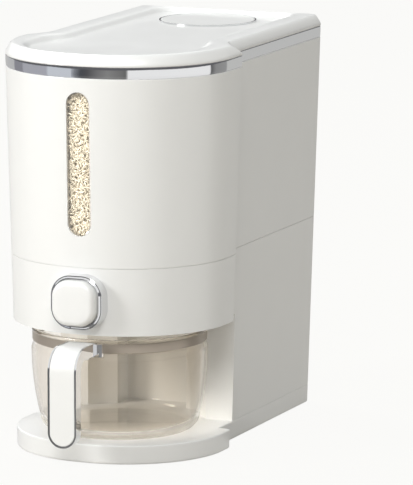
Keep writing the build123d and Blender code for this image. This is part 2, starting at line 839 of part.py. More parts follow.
lid.part.label = "lid"
export_step(lid.part, "parts/lid.step")

# Lid inner panel: plate under the lid's floor, with a skirt that carries the seal
panel_top_z = lid_floor_z - lid_skin
seal_outer = hopper_inset + hopper_wall + lid_seal_clearance
skirt_outer = seal_outer + lid_seal_thickness
skirt_inner = skirt_outer + skirt_thickness
skirt_bottom_z = lid_z - skirt_depth
lid_seal_low_z = skirt_bottom_z + lid_seal_lift

with BuildPart() as lid_inner_panel:
    add(slab(panel_top_z - panel_thickness, panel_top_z, wall + snug))
    add(ring(skirt_bottom_z, panel_top_z, skirt_outer, skirt_inner))
    add(disc(cup_radius + snug, lid_z - 2, panel_top_z + 1), mode=Mode.SUBTRACT)
lid_inner_panel.part.label = "lid_inner_panel"
export_step(lid_inner_panel.part, "parts/lid_inner_panel.step")

# Lid seal round the skirt, clear of the hopper's wall by a little
with BuildPart() as lid_seal:
    add(ring(lid_seal_low_z, lid_seal_low_z + lid_seal_height, seal_outer, skirt_outer - running_fit))
lid_seal.part.label = "lid_seal"
export_step(lid_seal.part, "parts/lid_seal.step")

# Hinge bracket on the rear wall, with arms up to the pin
bracket_top_z = band_z - hinge_plate_drop
bracket_low_z = bracket_top_z - hinge_plate_height
bracket_back_y = rear_y + hinge_plate_thickness
hinge_screw_x = hinge_width / 2 - hinge_screw_margin
hinge_screw_z = bracket_low_z + hinge_screw_lift
arm_low_edge_z = bracket_top_z - hinge_arm_depth

with BuildPart() as hinge_bracket:
    plate_y = (rear_y - hinge_plate_thickness, bracket_back_y)
    add(box((-hinge_width / 2, hinge_width / 2), plate_y, (bracket_low_z, bracket_top_z)))
    for side in (-1, 1):
        arm_x = (side * (hinge_width / 2 - hinge_ear_width), side * hinge_width / 2)
        arm_y = (hinge_y - hinge_barrel_radius + moving_gap, hinge_y + hinge_barrel_radius)
        root_y = (rear_y - hinge_plate_thickness, arm_y[1])
        add(box((min(arm_x), max(arm_x)), root_y, (arm_low_edge_z, bracket_top_z)))
        add(box((min(arm_x), max(arm_x)), arm_y, (arm_low_edge_z, lid_z)))
        add(rod((min(arm_x), hinge_y, lid_z), (max(arm_x), hinge_y, lid_z), hinge_barrel_radius))
    add(slab(bracket_low_z - 5, lid_z + 4, -running_fit), mode=Mode.SUBTRACT)
    add(hinge_bore, mode=Mode.SUBTRACT)
    for spot_x in (-hinge_screw_x, hinge_screw_x):
        hole = rod((spot_x, 0, hinge_screw_z), (spot_x, reach, hinge_screw_z), screw_radius + snug)
        add(hole, mode=Mode.SUBTRACT)
hinge_bracket.part.label = "hinge_bracket"
export_step(hinge_bracket.part, "parts/hinge_bracket.step")

# Hinge screws, headed on the bracket and just meeting the wall
tip_y = rear_y - draft * (band_z - hinge_screw_z) + hinge_screw_tip_gap
head_y = bracket_back_y + hinge_screw_head_height
with BuildPart() as hinge_screws:
    for spot_x in (-hinge_screw_x, hinge_screw_x):
        seat = (spot_x, bracket_back_y, hinge_screw_z)
        add(rod((spot_x, tip_y, hinge_screw_z), seat, screw_radius))
        add(rod(seat, (spot_x, head_y, hinge_screw_z), screw_head_radius))
hinge_screws.part.label = "hinge_screws"
export_step(hinge_screws.part, "parts/hinge_screws.step")

# Hinge pin
with BuildPart() as hinge_pin:
    add(rod((-hinge_width / 2, hinge_y, lid_z), (hinge_width / 2, hinge_y, lid_z), hinge_pin_radius))
hinge_pin.part.label = "hinge_pin"
export_step(hinge_pin.part, "parts/hinge_pin.step")

# Desiccant cup, hung by its flange in the lid's floor, with vents through its bottom
cup_seat_z = lid_floor_z - cup_flange
cup_bottom_z = lid_floor_z - cup_depth
cup_inner_radius = cup_radius - cup_wall

with BuildPart() as desiccant_cup:
    add(disc(cup_radius, cup_bottom_z, lid_floor_z))
    add(disc(ring_outer, cup_seat_z, lid_floor_z))
    add(disc(cup_inner_radius, cup_bottom_z + cup_wall, lid_floor_z + 1), mode=Mode.SUBTRACT)
    with BuildSketch(Plane.XY.offset(cup_bottom_z - 1)):
        for number in range(1, vent_ring_count + 1):
            with Locations((0, cover_y)):
                with PolarLocations(number * vent_ring_pitch, number * first_ring_vent_count):
                    Circle(vent_radius)
    extrude(amount=cup_wall + 2, mode=Mode.SUBTRACT)
desiccant_cup.part.label = "desiccant_cup"
export_step(desiccant_cup.part, "parts/desiccant_cup.step")

# Desiccant sachet lying in the cup, with softened edges
sachet_low_z = cup_bottom_z + cup_wall
with BuildPart() as desiccant_sachet:
    add(disc(sachet_radius, sachet_low_z, sachet_low_z + sachet_height))
    fillet(desiccant_sachet.edges().filter_by(GeomType.CIRCLE), sachet_edge_fillet)
desiccant_sachet.part.label = "desiccant_sachet"
export_step(desiccant_sachet.part, "parts/desiccant_sachet.step")

# Bright ring round the cover, on the cup's flange
with BuildPart() as desiccant_ring:
    add(disc(ring_outer, lid_floor_z, lid_floor_z + cover_thickness))
    add(disc(cover_radius + cover_gap, lid_floor_z - 1, lid_floor_z + cover_thickness + 1),
        mode=Mode.SUBTRACT)
desiccant_ring.part.label = "desiccant_ring"
export_step(desiccant_ring.part, "parts/desiccant_ring.step")

# Round cover, with a skirt that turns inside the cup
skirt_radius = cup_inner_radius - cover_gap
skirt_low_z = lid_floor_z - cover_skirt_height
with BuildPart() as desiccant_cover:
    add(disc(cover_radius, lid_floor_z, lid_floor_z + cover_thickness))
    add(disc(skirt_radius, skirt_low_z, lid_floor_z + cover_thickness / 2))
    add(disc(skirt_radius - cover_skirt_wall, skirt_low_z - 1, lid_floor_z), mode=Mode.SUBTRACT)
    top_rim = desiccant_cover.faces().sort_by(Axis.Z)[-1].edges()
    fillet(top_rim, cover_edge_fillet)
desiccant_cover.part.label = "desiccant_cover"
export_step(desiccant_cover.part, "parts/desiccant_cover.step")

# Jug glass, turned about its axis
jug_plane = Plane((0, jug_y, base_top_z), x_dir=(1, 0, 0), z_dir=(0, -1, 0))
lip_z = jug_height - jug_lip_height
lip_radius = jug_radius - jug_lip_inset
heel_radius = jug_side_foot_radius - jug_wall
bottom_radius = jug_foot_radius - jug_bottom_run_in
with BuildPart() as jug_glass:
    with BuildSketch(jug_plane):
        with BuildLine():
            Line((0, 0), (jug_foot_radius, 0))
            TangentArc((jug_foot_radius, 0), (jug_side_foot_radius, jug_side_foot_height), tangent=(1, 0))
            ThreePointArc((jug_side_foot_radius, jug_side_foot_height),
                          (jug_middle_radius, jug_middle_height),
                          (jug_radius, jug_shoulder_height))
            Line((jug_radius, jug_shoulder_height), (jug_neck_radius, jug_neck_height))
            Line((jug_neck_radius, jug_neck_height), (jug_neck_radius, lip_z))
            Line((jug_neck_radius, lip_z), (lip_radius, lip_z))
            Line((lip_radius, lip_z), (lip_radius, jug_height))
            Line((lip_radius, jug_height), (jug_neck_radius - jug_wall, jug_height))
            Line((jug_neck_radius - jug_wall, jug_height), (jug_neck_radius - jug_wall, jug_neck_height))
            Line((jug_neck_radius - jug_wall, jug_neck_height), (jug_radius - jug_wall, jug_shoulder_height))
            ThreePointArc((jug_radius - jug_wall, jug_shoulder_height),
                          (jug_middle_radius - jug_wall, jug_middle_height),
                          (heel_radius, jug_side_foot_height))
            ThreePointArc((heel_radius, jug_side_foot_height),
                          (heel_radius - jug_heel_inset, jug_side_foot_height - jug_heel_drop),
                          (bottom_radius, jug_bottom))
            Line((bottom_radius, jug_bottom), (0, jug_bottom))
            Line((0, jug_bottom), (0, 0))
        make_face()
    revolve(axis=Axis((0, jug_y, 0), (0, 0, 1)))
jug_glass.part.label = "jug_glass"
export_step(jug_glass.part, "parts/jug_glass.step")

# Steel band round the jug's neck, under the lip
band_low_z = base_top_z + jug_neck_height + band_lift
band_high_z = base_top_z + lip_z - snug
band_inner = jug_neck_radius + running_fit
band_outer = band_inner + band_thickness


def tube(inner, outer, low_z, high_z):
    """Ring on the jug's axis."""
    with BuildPart() as sleeve:
        with BuildSketch(Plane.XY.offset(low_z)):
            with Locations((0, jug_y)):
                Circle(outer)
                Circle(inner, mode=Mode.SUBTRACT)
        extrude(amount=high_z - low_z)
    return sleeve.part


with BuildPart() as jug_band:
    add(tube(band_inner, band_outer, band_low_z, band_high_z))
jug_band.part.label = "jug_band"
export_step(jug_band.part, "parts/jug_band.step")

# Handle bracket: saddle on the band, carrying the handle's arm
saddle_inner = band_outer + running_fit
saddle_outer = saddle_inner + bracket_thickness
arm_low_z = handle_top_z - handle_thickness
tongue_low_z = arm_low_z - tongue_thickness
handle_front_y = step_y - handle_reach
arm_straight_length = jug_y - saddle_outer - handle_front_y - handle_bend_radius
tongue_length = arm_straight_length * tongue_share
screw_y = jug_y - saddle_outer - tongue_length / 2
with BuildPart() as handle_bracket:
    add(tube(saddle_inner, saddle_outer, tongue_low_z, band_high_z))
    add(box((-bracket_half_width, bracket_half_width), (-reach, jug_y), (0, reach)), mode=Mode.INTERSECT)
    tongue_half = handle_width / 2 - tongue_inset
    tongue_y = (jug_y - saddle_outer - tongue_length, jug_y - saddle_inner)
    add(box((-tongue_half, tongue_half), tongue_y, (tongue_low_z, arm_low_z)))
    add(rod((0, jug_y, 0), (0, jug_y, reach), saddle_inner), mode=Mode.SUBTRACT)
    add(rod((0, screw_y, 0), (0, screw_y, arm_low_z + 1), screw_radius + snug), mode=Mode.SUBTRACT)
handle_bracket.part.label = "handle_bracket"
export_step(handle_bracket.part, "parts/handle_bracket.step")

# Handle frame: a strap from the bracket, bent down to a free rounded end, hollowed for the inlay
arm_back_y = jug_y - saddle_outer + handle_arm_root_gap
side_plane = Plane((0, 0, 0), x_dir=(0, 1, 0), z_dir=(1, 0, 0))
front_plane = Plane((0, step_y, 0), x_dir=(1, 0, 0), z_dir=(0, -1, 0))


def strap(outer_inset, thickness, back_y, half_width):
    """Bent strap between two depths under the handle's outer face, with a rounded lower end."""
    front = handle_front_y + outer_inset
    top = handle_top_z - outer_inset
    bend = handle_bend_radius - outer_inset
    inner_bend = max(bend - thickness, 1.0)
    with BuildPart() as form:
        with BuildSketch(side_plane):
            with BuildLine():
                FilletPolyline(
                    (back_y, top),
                    (front, top),
                    (front, 0),
                    (front + thickness, 0),
                    (front + thickness, top - thickness),
                    (back_y, top - thickness),
                    radius=[bend, 0, 0, inner_bend],
                )
                Line((back_y, top - thickness), (back_y, top))
            make_face()
        extrude(amount=half_width, both=True)
        low = handle_low_z + handle_width / 2 - half_width
        with BuildSketch(front_plane):
            with Locations((0, low + half_width)):
                Circle(half_width)
            with Locations((0, (low + half_width + handle_top_z) / 2 + 1)):
                Rectangle(2 * half_width, handle_top_z + 2 - low - half_width)
        extrude(amount=reach, mode=Mode.INTERSECT)
    return form.part


saddle_clearance = rod((0, jug_y, 0), (0, jug_y, handle_top_z + 1), saddle_outer + running_fit)
inlay_half = handle_width / 2 - handle_rim
inlay_back_y = arm_back_y - inlay_root_gap
with BuildPart() as handle_frame:
    add(strap(0, handle_thickness, arm_back_y, handle_width / 2))
    add(strap(0, inlay_thickness + snug, inlay_back_y + snug, inlay_half + snug), mode=Mode.SUBTRACT)
    add(saddle_clearance, mode=Mode.SUBTRACT)
    bore_top = (0, screw_y, arm_low_z + handle_bore_depth)
    add(rod((0, screw_y, arm_low_z - 1), bore_top, screw_radius + running_fit), mode=Mode.SUBTRACT)
handle_frame.part.label = "handle_frame"
export_step(handle_frame.part, "parts/handle_frame.step")

# Handle inlay: thin white strip along the outside of the strap
with BuildPart() as handle_inlay:
    add(strap(0, inlay_thickness, inlay_back_y, inlay_half))
    add(saddle_clearance, mode=Mode.SUBTRACT)
handle_inlay.part.label = "handle_inlay"
export_step(handle_inlay.part, "parts/handle_inlay.step")

# Handle screw, up through the bracket's tongue into the strap
with BuildPart() as handle_screw:
    add(rod((0, screw_y, tongue_low_z - screw_head_height), (0, screw_y, tongue_low_z), screw_head_radius))
    add(rod((0, screw_y, tongue_low_z), (0, screw_y, arm_low_z + handle_screw_reach), screw_radius))
handle_screw.part.label = "handle_screw"
export_step(handle_screw.part, "parts/handle_screw.step")
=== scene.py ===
import json
import random
from math import cos, pi, radians, sin, tan

import bpy
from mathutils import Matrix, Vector


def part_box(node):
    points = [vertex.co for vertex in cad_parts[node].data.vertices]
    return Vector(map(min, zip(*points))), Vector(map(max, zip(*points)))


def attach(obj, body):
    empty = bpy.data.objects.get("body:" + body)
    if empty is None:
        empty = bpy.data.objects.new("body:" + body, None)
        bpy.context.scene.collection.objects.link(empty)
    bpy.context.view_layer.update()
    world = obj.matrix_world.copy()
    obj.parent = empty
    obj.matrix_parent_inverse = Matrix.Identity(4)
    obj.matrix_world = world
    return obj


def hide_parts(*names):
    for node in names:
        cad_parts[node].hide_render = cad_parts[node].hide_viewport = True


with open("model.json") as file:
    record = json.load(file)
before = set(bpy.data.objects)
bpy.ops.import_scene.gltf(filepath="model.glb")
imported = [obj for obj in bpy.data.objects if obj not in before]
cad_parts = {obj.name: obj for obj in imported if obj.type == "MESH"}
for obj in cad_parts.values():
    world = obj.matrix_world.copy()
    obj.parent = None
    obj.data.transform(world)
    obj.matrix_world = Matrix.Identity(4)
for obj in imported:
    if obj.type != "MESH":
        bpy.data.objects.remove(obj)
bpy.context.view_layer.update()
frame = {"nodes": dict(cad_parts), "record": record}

MM = 0.001

# A corner this near to a line, in millimetres, counts as lying on it
NEAR = 0.01

# Outline of the bin in millimetres, as the solids have it
nose_half_width = 100.0
nose_length = 121.0
nose_radius = 95.0
rear_half_width = 88.5
rear_length = 213.0
rear_corner_radius = 8.0
step_outer_radius = 4.0
step_inner_radius = 1.5
draft = tan(radians(1.42))
band_low = 329.4
band_high = 339.4
seam = 168.7
window_middle = 256.4
step_line = -32.624
rear_line = step_line + rear_length
nose_front = step_line - nose_length
jug_axis = step_line - 34.0

random.seed(11)


# Camera, floor and light

camera_bearing = 22.776
camera_tilt = 9.791
camera_distance = 4.2456
camera_target = (66.035, step_line, 176.067)
camera_lens = 369.19
camera_sensor = 36
camera_range = 50

# Light of the room on all that isn't a mirror, from its sides and from above
side_light = (0.57, 0.56, 0.525)
top_light = (0.45, 0.455, 0.45)
light_rise = (0.0, 0.5)

# What bright metal sees of the room's wall, at its foot and above
low_wall = (0.14, 0.14, 0.15)
high_wall = (0.97, 0.97, 0.96)
wall_rise = (0.16, 0.26)

# What the camera sees of the room
room_white = (0.99, 0.99, 0.98)

# What bright metal sees of the floor, by bearing in degrees from straight in front, to the right
floor_greys = [
    (-180, (0.56, 0.56, 0.55)), (-108, (0.56, 0.56, 0.56)), (-106, (0.3, 0.3, 0.33)),
    (-90, (0.3, 0.3, 0.33)), (-88, (0.46, 0.465, 0.5)), (-53, (0.46, 0.465, 0.51)),
    (-51, (0.66, 0.69, 0.74)), (-25, (0.66, 0.69, 0.74)), (-23.5, (0.08, 0.085, 0.095)),
    (-18, (0.1, 0.1, 0.105)), (-7, (0.2, 0.2, 0.2)), (3, (0.27, 0.27, 0.265)),
    (18, (0.19, 0.19, 0.185)), (22, (0.16, 0.16, 0.155)), (23.5, (0.98, 0.98, 0.97)),
    (115, (0.98, 0.98, 0.97)), (116.5, (0.13, 0.13, 0.13)), (124, (0.3, 0.3, 0.295)),
    (143, (0.35, 0.35, 0.345)), (145, (0.6, 0.6, 0.58)), (180, (0.56, 0.56, 0.55)),
]

# The greys are hazy up to the first distance in metres, and plain from the second
haze_colour = (0.62, 0.61, 0.59)
haze_share = 0.1
haze_fade = (1.1, 1.4)

# Rays that have met more surfaces than this don't see the greys
mirror_depth = 2.5

# The floor's own colour takes the shadow, and the glow brings it up to the room's white
floor_size = 9.0
floor_roughness = 0.8
floor_colour = (0.46, 0.42, 0.36)
floor_glow = (1.0, 1.0, 0.985)
floor_glow_share = 0.93

# Name, place in metres, point that it faces, width and height, watts
lamps = [
    ("key_lamp", (-2.08, -2.08, 1.35), (0, 0, 0.15), (0.9, 0.9), 54),
    ("high_lamp", (0.82, -2.12, 2.4), (0, 0, 0.15), (1.4, 1.0), 41),
    ("lid_lamp", (-1.7, 1.2, 2.3), (0, 0, 0.3), (0.8, 0.8), 26),
]
lamp_colour = (1.0, 1.0, 0.99)


def set_camera():
    """Camera at the photograph's place, a little above and to the right of the front."""
    turn, tilt = radians(camera_bearing), radians(camera_tilt)
    away = Vector((sin(turn) * cos(tilt), -cos(turn) * cos(tilt), sin(tilt)))
    lens_data = bpy.data.cameras.new("camera")
    lens_data.lens = camera_lens
    lens_data.sensor_width = camera_sensor
    lens_data.clip_end = camera_range
    camera = bpy.data.objects.new("camera", lens_data)
    bpy.context.scene.collection.objects.link(camera)
    camera.location = Vector(camera_target) * MM + away * camera_distance
    camera.rotation_euler = (-away).to_track_quat("-Z", "Y").to_euler()
    bpy.context.scene.camera = camera


def add_lamp(name, place, aim, size, power):
    """Soft rectangular lamp that faces a point."""
    lamp = bpy.data.lights.new(name, "AREA")
    lamp.shape = "RECTANGLE"
    lamp.size, lamp.size_y = size
    lamp.energy = power
    lamp.color = lamp_colour
    stand = bpy.data.objects.new(name, lamp)
    bpy.context.scene.collection.objects.link(stand)
    stand.location = place
    stand.rotation_euler = (Vector(aim) - Vector(place)).to_track_quat("-Z", "Y").to_euler()


def feed(tree, socket, value):
    """Set a socket to a number or a colour, or join it to another node's output."""
    if isinstance(value, bpy.types.NodeSocket):
        tree.links.new(value, socket)
    elif socket.type == "RGBA":
        socket.default_value = (*value, 1)
    else:
        socket.default_value = value


def add_node(tree, kind, inputs=None, **settings):
    """New shader node with its settings, its inputs fed by name or number."""
    node = tree.nodes.new("ShaderNode" + kind)
    for name, value in settings.items():
        setattr(node, name, value)
    for key, value in (inputs or {}).items():
        feed(tree, node.inputs[key], value)
    return node


def blended(tree, factor, first, second):
    """Colour mixed from two colours or sockets."""
    inputs = {"Factor": factor, "A": first, "B": second}
    return add_node(tree, "Mix", inputs, data_type="RGBA").outputs["Result"]


def calculated(tree, operation, *values):
    """Result of one sum on numbers or sockets."""
    return add_node(tree, "Math", dict(enumerate(values)), operation=operation).outputs[0]


def ranged(tree, value, low, high):
    """Share of the way between two values, from 0 to 1."""
    inputs = {"Value": value, "From Min": low, "From Max": high}
    return add_node(tree, "MapRange", inputs).outputs["Result"]


def mirror_share(tree, path):
    """1 for a ray that comes straight from a mirror, 0 for others and for rays inside glass."""
    outside = calculated(tree, "SUBTRACT", 1.0, path["Is Transmission Ray"])
    early = calculated(tree, "LESS_THAN", path["Ray Depth"], mirror_depth)
    clear = calculated(tree, "MULTIPLY", outside, early)
    return calculated(tree, "MULTIPLY", path["Is Glossy Ray"], clear)


def seen_share(tree, path):
    """1 for a ray from the camera, also where it has passed through glass."""
    return calculated(tree, "MAXIMUM", path["Is Camera Ray"], path["Is Transmission Ray"])


def set_world():
    """White room with soft light, warmer from its sides, and a wall dark at its foot for metal."""
    world = bpy.data.worlds.new("room")
    bpy.context.scene.world = world
    world.use_nodes = True
    tree = world.node_tree
    tree.nodes.clear()
    path = add_node(tree, "LightPath").outputs
    place = add_node(tree, "TexCoord").outputs["Generated"]
    rise = add_node(tree, "SeparateXYZ", {0: place}).outputs["Z"]
    light = blended(tree, ranged(tree, rise, *light_rise), side_light, top_light)
    wall = blended(tree, ranged(tree, rise, *wall_rise), low_wall, high_wall)
    colour = blended(tree, mirror_share(tree, path), light, wall)
    colour = blended(tree, seen_share(tree, path), colour, room_white)
    shader = add_node(tree, "Background", {"Color": colour})
    add_node(tree, "OutputWorld", {"Surface": shader.outputs[0]})


def add_floor_greys(tree, place):
    """Greys round the bin, each a wedge of the floor with its tip under the nose's centre."""
    parts = add_node(tree, "SeparateXYZ", {0: place}).outputs
    ahead = calculated(tree, "MULTIPLY_ADD", parts["Y"], -1.0, (nose_front + nose_radius) * MM)
    bearing = calculated(tree, "ARCTAN2", parts["X"], ahead)
    ramp = add_node(tree, "ValToRGB", {"Fac": ranged(tree, bearing, -pi, pi)})
    stops = ramp.color_ramp.elements
    for stop, (angle, grey) in ((stops[0], floor_greys[0]), (stops[1], floor_greys[-1])):
        stop.position = (angle + 180.0) / 360.0
        stop.color = (*grey, 1)
    for angle, grey in floor_greys[1:-1]:
        stops.new((angle + 180.0) / 360.0).color = (*grey, 1)
    return ramp.outputs["Color"]


def set_floor():
    """Pale floor that fades into the white room, keeps the soft shadow and shows greys in metal."""
    bpy.ops.object.select_all(action="DESELECT")
    bpy.ops.mesh.primitive_plane_add(size=floor_size)
    floor = bpy.context.object
    floor.name = "floor"
    material = bpy.data.materials.new("floor_paper")
    material.use_nodes = True
    tree = material.node_tree
    paper = tree.nodes["Principled BSDF"]
    feed(tree, paper.inputs["Base Color"], floor_colour)
    feed(tree, paper.inputs["Roughness"], floor_roughness)
    path = add_node(tree, "LightPath").outputs
    place = add_node(tree, "TexCoord").outputs["Object"]
    greys = add_floor_greys(tree, place)
    distance = add_node(tree, "VectorMath", {0: place}, operation="LENGTH").outputs["Value"]
    hazy = blended(tree, haze_share, greys, haze_colour)
    mirrored = blended(tree, ranged(tree, distance, *haze_fade), hazy, greys)
    mirror = mirror_share(tree, path)
    glow = add_node(tree, "Emission", {"Color": blended(tree, mirror, floor_glow, mirrored)})
    seen = calculated(tree, "MULTIPLY", seen_share(tree, path), floor_glow_share)
    share = calculated(tree, "MAXIMUM", seen, mirror)
    mix = add_node(tree, "MixShader", {"Fac": share, 1: paper.outputs[0], 2: glow.outputs[0]})
    feed(tree, tree.nodes["Material Output"].inputs["Surface"], mix.outputs[0])
    floor.data.materials.append(material)


set_camera()
set_world()
set_floor()
for lamp_values in lamps:
    add_lamp(*lamp_values)
bpy.context.scene.view_settings.view_transform = "Standard"


# Materials

coat_roughness = 0.08
relief_depth = 0.0002

# Shadow rays go straight through glass and take this colour. Other rays do so once they have
# met more surfaces than the depth, because they would end black.
glass_pass_colour = (0.98, 0.965, 0.94)
glass_depth = 3.5


def make_group(name, inputs, outputs):
    """Empty node group with named sockets."""
    group = bpy.data.node_groups.new(name, "ShaderNodeTree")
    for socket, kind, value in inputs:
        made = group.interface.new_socket(name=socket, in_out="INPUT", socket_type=kind)
        made.default_value = value
    for socket, kind in outputs:
        group.interface.new_socket(name=socket, in_out="OUTPUT", socket_type=kind)
    group.nodes.new("NodeGroupInput").name = "in"
    group.nodes.new("NodeGroupOutput").name = "out"
    return group


def noise(tree, place, scale, detail):
    """Noise at a place, from 0 to 1, with finer layers the more detail it has."""
    inputs = {"Vector": place, "Scale": scale, "Detail": detail}
    return add_node(tree, "TexNoise", inputs).outputs["Fac"]


def make_surface_group():
    """Fine unevenness of a surface: a colour that drifts, a roughness that varies, and grain."""
    group = make_group(
        "surface_variation",
        [("Color", "NodeSocketColor", (0.8, 0.8, 0.8, 1)), ("Drift", "NodeSocketFloat", 0.03),
         ("Roughness", "NodeSocketFloat", 0.3), ("Spread", "NodeSocketFloat", 0.05),
         ("Patch Scale", "NodeSocketFloat", 30.0), ("Grain Scale", "NodeSocketFloat", 1500.0),
         ("Stretch", "NodeSocketVector", (1, 1, 1))],
        [("Color", "NodeSocketColor"), ("Roughness", "NodeSocketFloat"),
         ("Height", "NodeSocketFloat")],
    )
    source, result = group.nodes["in"].outputs, group.nodes["out"].inputs
    factors = {0: add_node(group, "TexCoord").outputs["Object"], 1: source["Stretch"]}
    place = add_node(group, "VectorMath", factors, operation="MULTIPLY").outputs[0]
    centred = calculated(group, "SUBTRACT", noise(group, place, source["Patch Scale"], 3), 0.5)
    drift = calculated(group, "MULTIPLY_ADD", centred, source["Drift"], 1.0)
    tint = add_node(group, "VectorMath", {0: source["Color"], "Scale": drift}, operation="SCALE")
    rough = calculated(group, "MULTIPLY_ADD", centred, source["Spread"], source["Roughness"])
    feed(group, result["Color"], tint.outputs[0])
    feed(group, result["Roughness"], rough)
    feed(group, result["Height"], noise(group, place, source["Grain Scale"], 2))
    return group


surface_group = make_surface_group()


def make_finish(title, colour, drift=0.03, roughness=0.3, spread=0.08, patch=30.0, grain=1500.0,
                bump=0.02, stretch=(1, 1, 1), metal=0.0, glass=0.0, coat=0.0, ior=1.5):
    """Material with the shared surface variation and its own values."""
    material = bpy.data.materials.new(title)
    material.use_nodes = True
    tree = material.node_tree
    shader = tree.nodes["Principled BSDF"]
    inputs = {
        "Color": colour, "Drift": drift, "Roughness": roughness, "Spread": spread,
        "Patch Scale": patch, "Grain Scale": grain, "Stretch": stretch,
    }
    surface = add_node(tree, "Group", inputs, node_tree=surface_group).outputs
    inputs = {"Strength": bump, "Distance": relief_depth, "Height": surface["Height"]}
    relief = add_node(tree, "Bump", inputs)
    values = {
        "Base Color": surface["Color"], "Roughness": surface["Roughness"],
        "Normal": relief.outputs["Normal"], "Metallic": metal, "Transmission Weight": glass,
        "Coat Weight": coat, "Coat Roughness": coat_roughness, "IOR": ior,
    }
    for name, value in values.items():
        feed(tree, shader.inputs[name], value)
    if glass:
        path = add_node(tree, "LightPath").outputs
        late = calculated(tree, "GREATER_THAN", path["Ray Depth"], glass_depth)
        through = calculated(tree, "MAXIMUM", path["Is Shadow Ray"], late)
        clear = add_node(tree, "BsdfTransparent", {"Color": glass_pass_colour})
        inputs = {"Fac": through, 1: shader.outputs[0], 2: clear.outputs[0]}
        mix = add_node(tree, "MixShader", inputs)
        feed(tree, tree.nodes["Material Output"].inputs["Surface"], mix.outputs[0])
    return material


finishes = {
    "white_shell": make_finish("white_plastic", (0.835, 0.843, 0.84), roughness=0.3, bump=0.03,
                               coat=0.15),
    "inner_plastic": make_finish("matt_white_plastic", (0.78, 0.775, 0.755), roughness=0.5,
                                 bump=0.08),
    "underside_grey": make_finish("underside_plastic", (0.7, 0.7, 0.69), roughness=0.55, bump=0.1),
    "rubber": make_finish("grey_rubber", (0.09, 0.09, 0.095), roughness=0.75, bump=0.25,
                          grain=2500.0),
    # Dark silicone of the seals. Its darkness also gives the window a dark outline, which is partly
    # painted shade for the shadowed edge round the window.
    "seal_rubber": make_finish("silicone_darkened_as_painted_shade", (0.26, 0.245, 0.22), roughness=0.6, bump=0.1),
    "chrome": make_finish("bright_chrome", (0.78, 0.785, 0.8), drift=0.02, roughness=0.035,
                          spread=0.02, bump=0.01, metal=1.0),
    "band_steel": make_finish("satin_steel", (0.43, 0.375, 0.315), drift=0.06, roughness=0.3,
                              spread=0.12, patch=18.0, grain=260.0, bump=0.08,
                              stretch=(1, 1, 40), metal=0.5),
    "screw_steel": make_finish("screw_steel", (0.55, 0.55, 0.56), roughness=0.35, bump=0.05,
                               metal=1.0),
    "clear_lens": make_finish("clear_window", (0.97, 0.965, 0.945), drift=0.01, roughness=0.12,
                              spread=0.02, bump=0.005, glass=1.0, ior=1.45),
    "jug_glass": make_finish("clear_glass", (0.975, 0.94, 0.895), drift=0.01, roughness=0.01,
                             spread=0.01, bump=0.004, glass=1.0, ior=1.47),
    "sachet": make_finish("sachet_paper", (0.8, 0.79, 0.76), roughness=0.8, bump=0.3, grain=900.0),
    "rice": make_finish("rice_grain", (0.73, 0.66, 0.54), drift=0.5, roughness=0.5, patch=320.0,
                        bump=0.1),
}
slot_of = {part["node"]: part["material_slot"] for part in frame["record"]["subparts"]}
for node_name, node in frame["nodes"].items():
    node.data.materials.clear()
    node.data.materials.append(finishes[slot_of[node_name]])


# Modelling helpers

# Corners nearer to each other than this, in metres, are merged
merge_distance = 0.000005
nose_segments = 40
corner_segments = 8
least_corner_radius = 0.4
least_press_width = 0.0001

# Inset of the edges that run in under the outer skin, where nothing shows them
hidden_inset = 2.5


def alone(piece):
    """Leave edit mode and select one piece."""
    if bpy.context.object and bpy.context.object.mode != "OBJECT":
        bpy.ops.object.mode_set(mode="OBJECT")
    bpy.ops.object.select_all(action="DESELECT")
    piece.select_set(True)
    bpy.context.view_layer.objects.active = piece


def pick(piece, wanted, edges=False):
    """Select in edit mode the corners that pass a test, or the edges whose two ends pass it."""
    if piece.mode != "OBJECT":
        bpy.ops.object.mode_set(mode="OBJECT")
    mesh = piece.data
    for group in (mesh.vertices, mesh.edges, mesh.polygons):
        group.foreach_set("select", [False] * len(group))
    if edges:
        points = [corner.co for corner in mesh.vertices]
        chosen = [bool(wanted(*(points[n] for n in edge.vertices))) for edge in mesh.edges]
        mesh.edges.foreach_set("select", chosen)
    else:
        chosen = [bool(wanted(corner)) for corner in mesh.vertices]
        mesh.vertices.foreach_set("select", chosen)
    bpy.context.tool_settings.mesh_select_mode = (not edges, edges, False)
    bpy.ops.object.mode_set(mode="EDIT")


def pick_all(piece):
    """Select a whole piece in edit mode."""
    pick(piece, lambda corner: True)


def on_line(value, line):
    """Whether a coordinate in metres lies on a line given in millimetres."""
    return abs(value - line * MM) < NEAR * MM


def draw_out(*step):
    """Extrude what is selected by a step in millimetres."""
    value = tuple(way * MM for way in step)
    bpy.ops.mesh.extrude_region_move(TRANSFORM_OT_translate={"value": value})


def press_forward(steps):
    """Draw the selected face forward by insets of (width, depth)."""
    for width, depth in steps:
        bpy.ops.mesh.inset(thickness=max(width, least_press_width) * MM, depth=depth * MM)


def finish_mesh(piece, angle=30.0):
    """Merge doubles, turn the faces outward and shade smooth up to an angle."""
    pick_all(piece)
    bpy.ops.mesh.remove_doubles(threshold=merge_distance)
    bpy.ops.mesh.normals_make_consistent(inside=False)
    alone(piece)
    bpy.ops.object.shade_smooth_by_angle(angle=radians(angle))


def apply_bevel(piece, width, segments=3, limit=50.0):
    """Round the edges of a piece that are sharper than a limit."""
    alone(piece)
    bevel = piece.modifiers.new("edge_rounding", "BEVEL")
    bevel.width = width * MM
    bevel.segments = segments
    bevel.limit_method = "ANGLE"
    bevel.angle_limit = radians(limit)
    bpy.ops.object.modifier_apply(modifier=bevel.name)


def cut_away(piece, tool):
    """Cut a tool's shape out of a piece and remove the tool."""
    alone(piece)
    cut = piece.modifiers.new("cut", "BOOLEAN")
    cut.operation = "DIFFERENCE"
    cut.solver = "EXACT"
    cut.object = tool
    bpy.ops.object.modifier_apply(modifier=cut.name)
    bpy.data.objects.remove(tool)


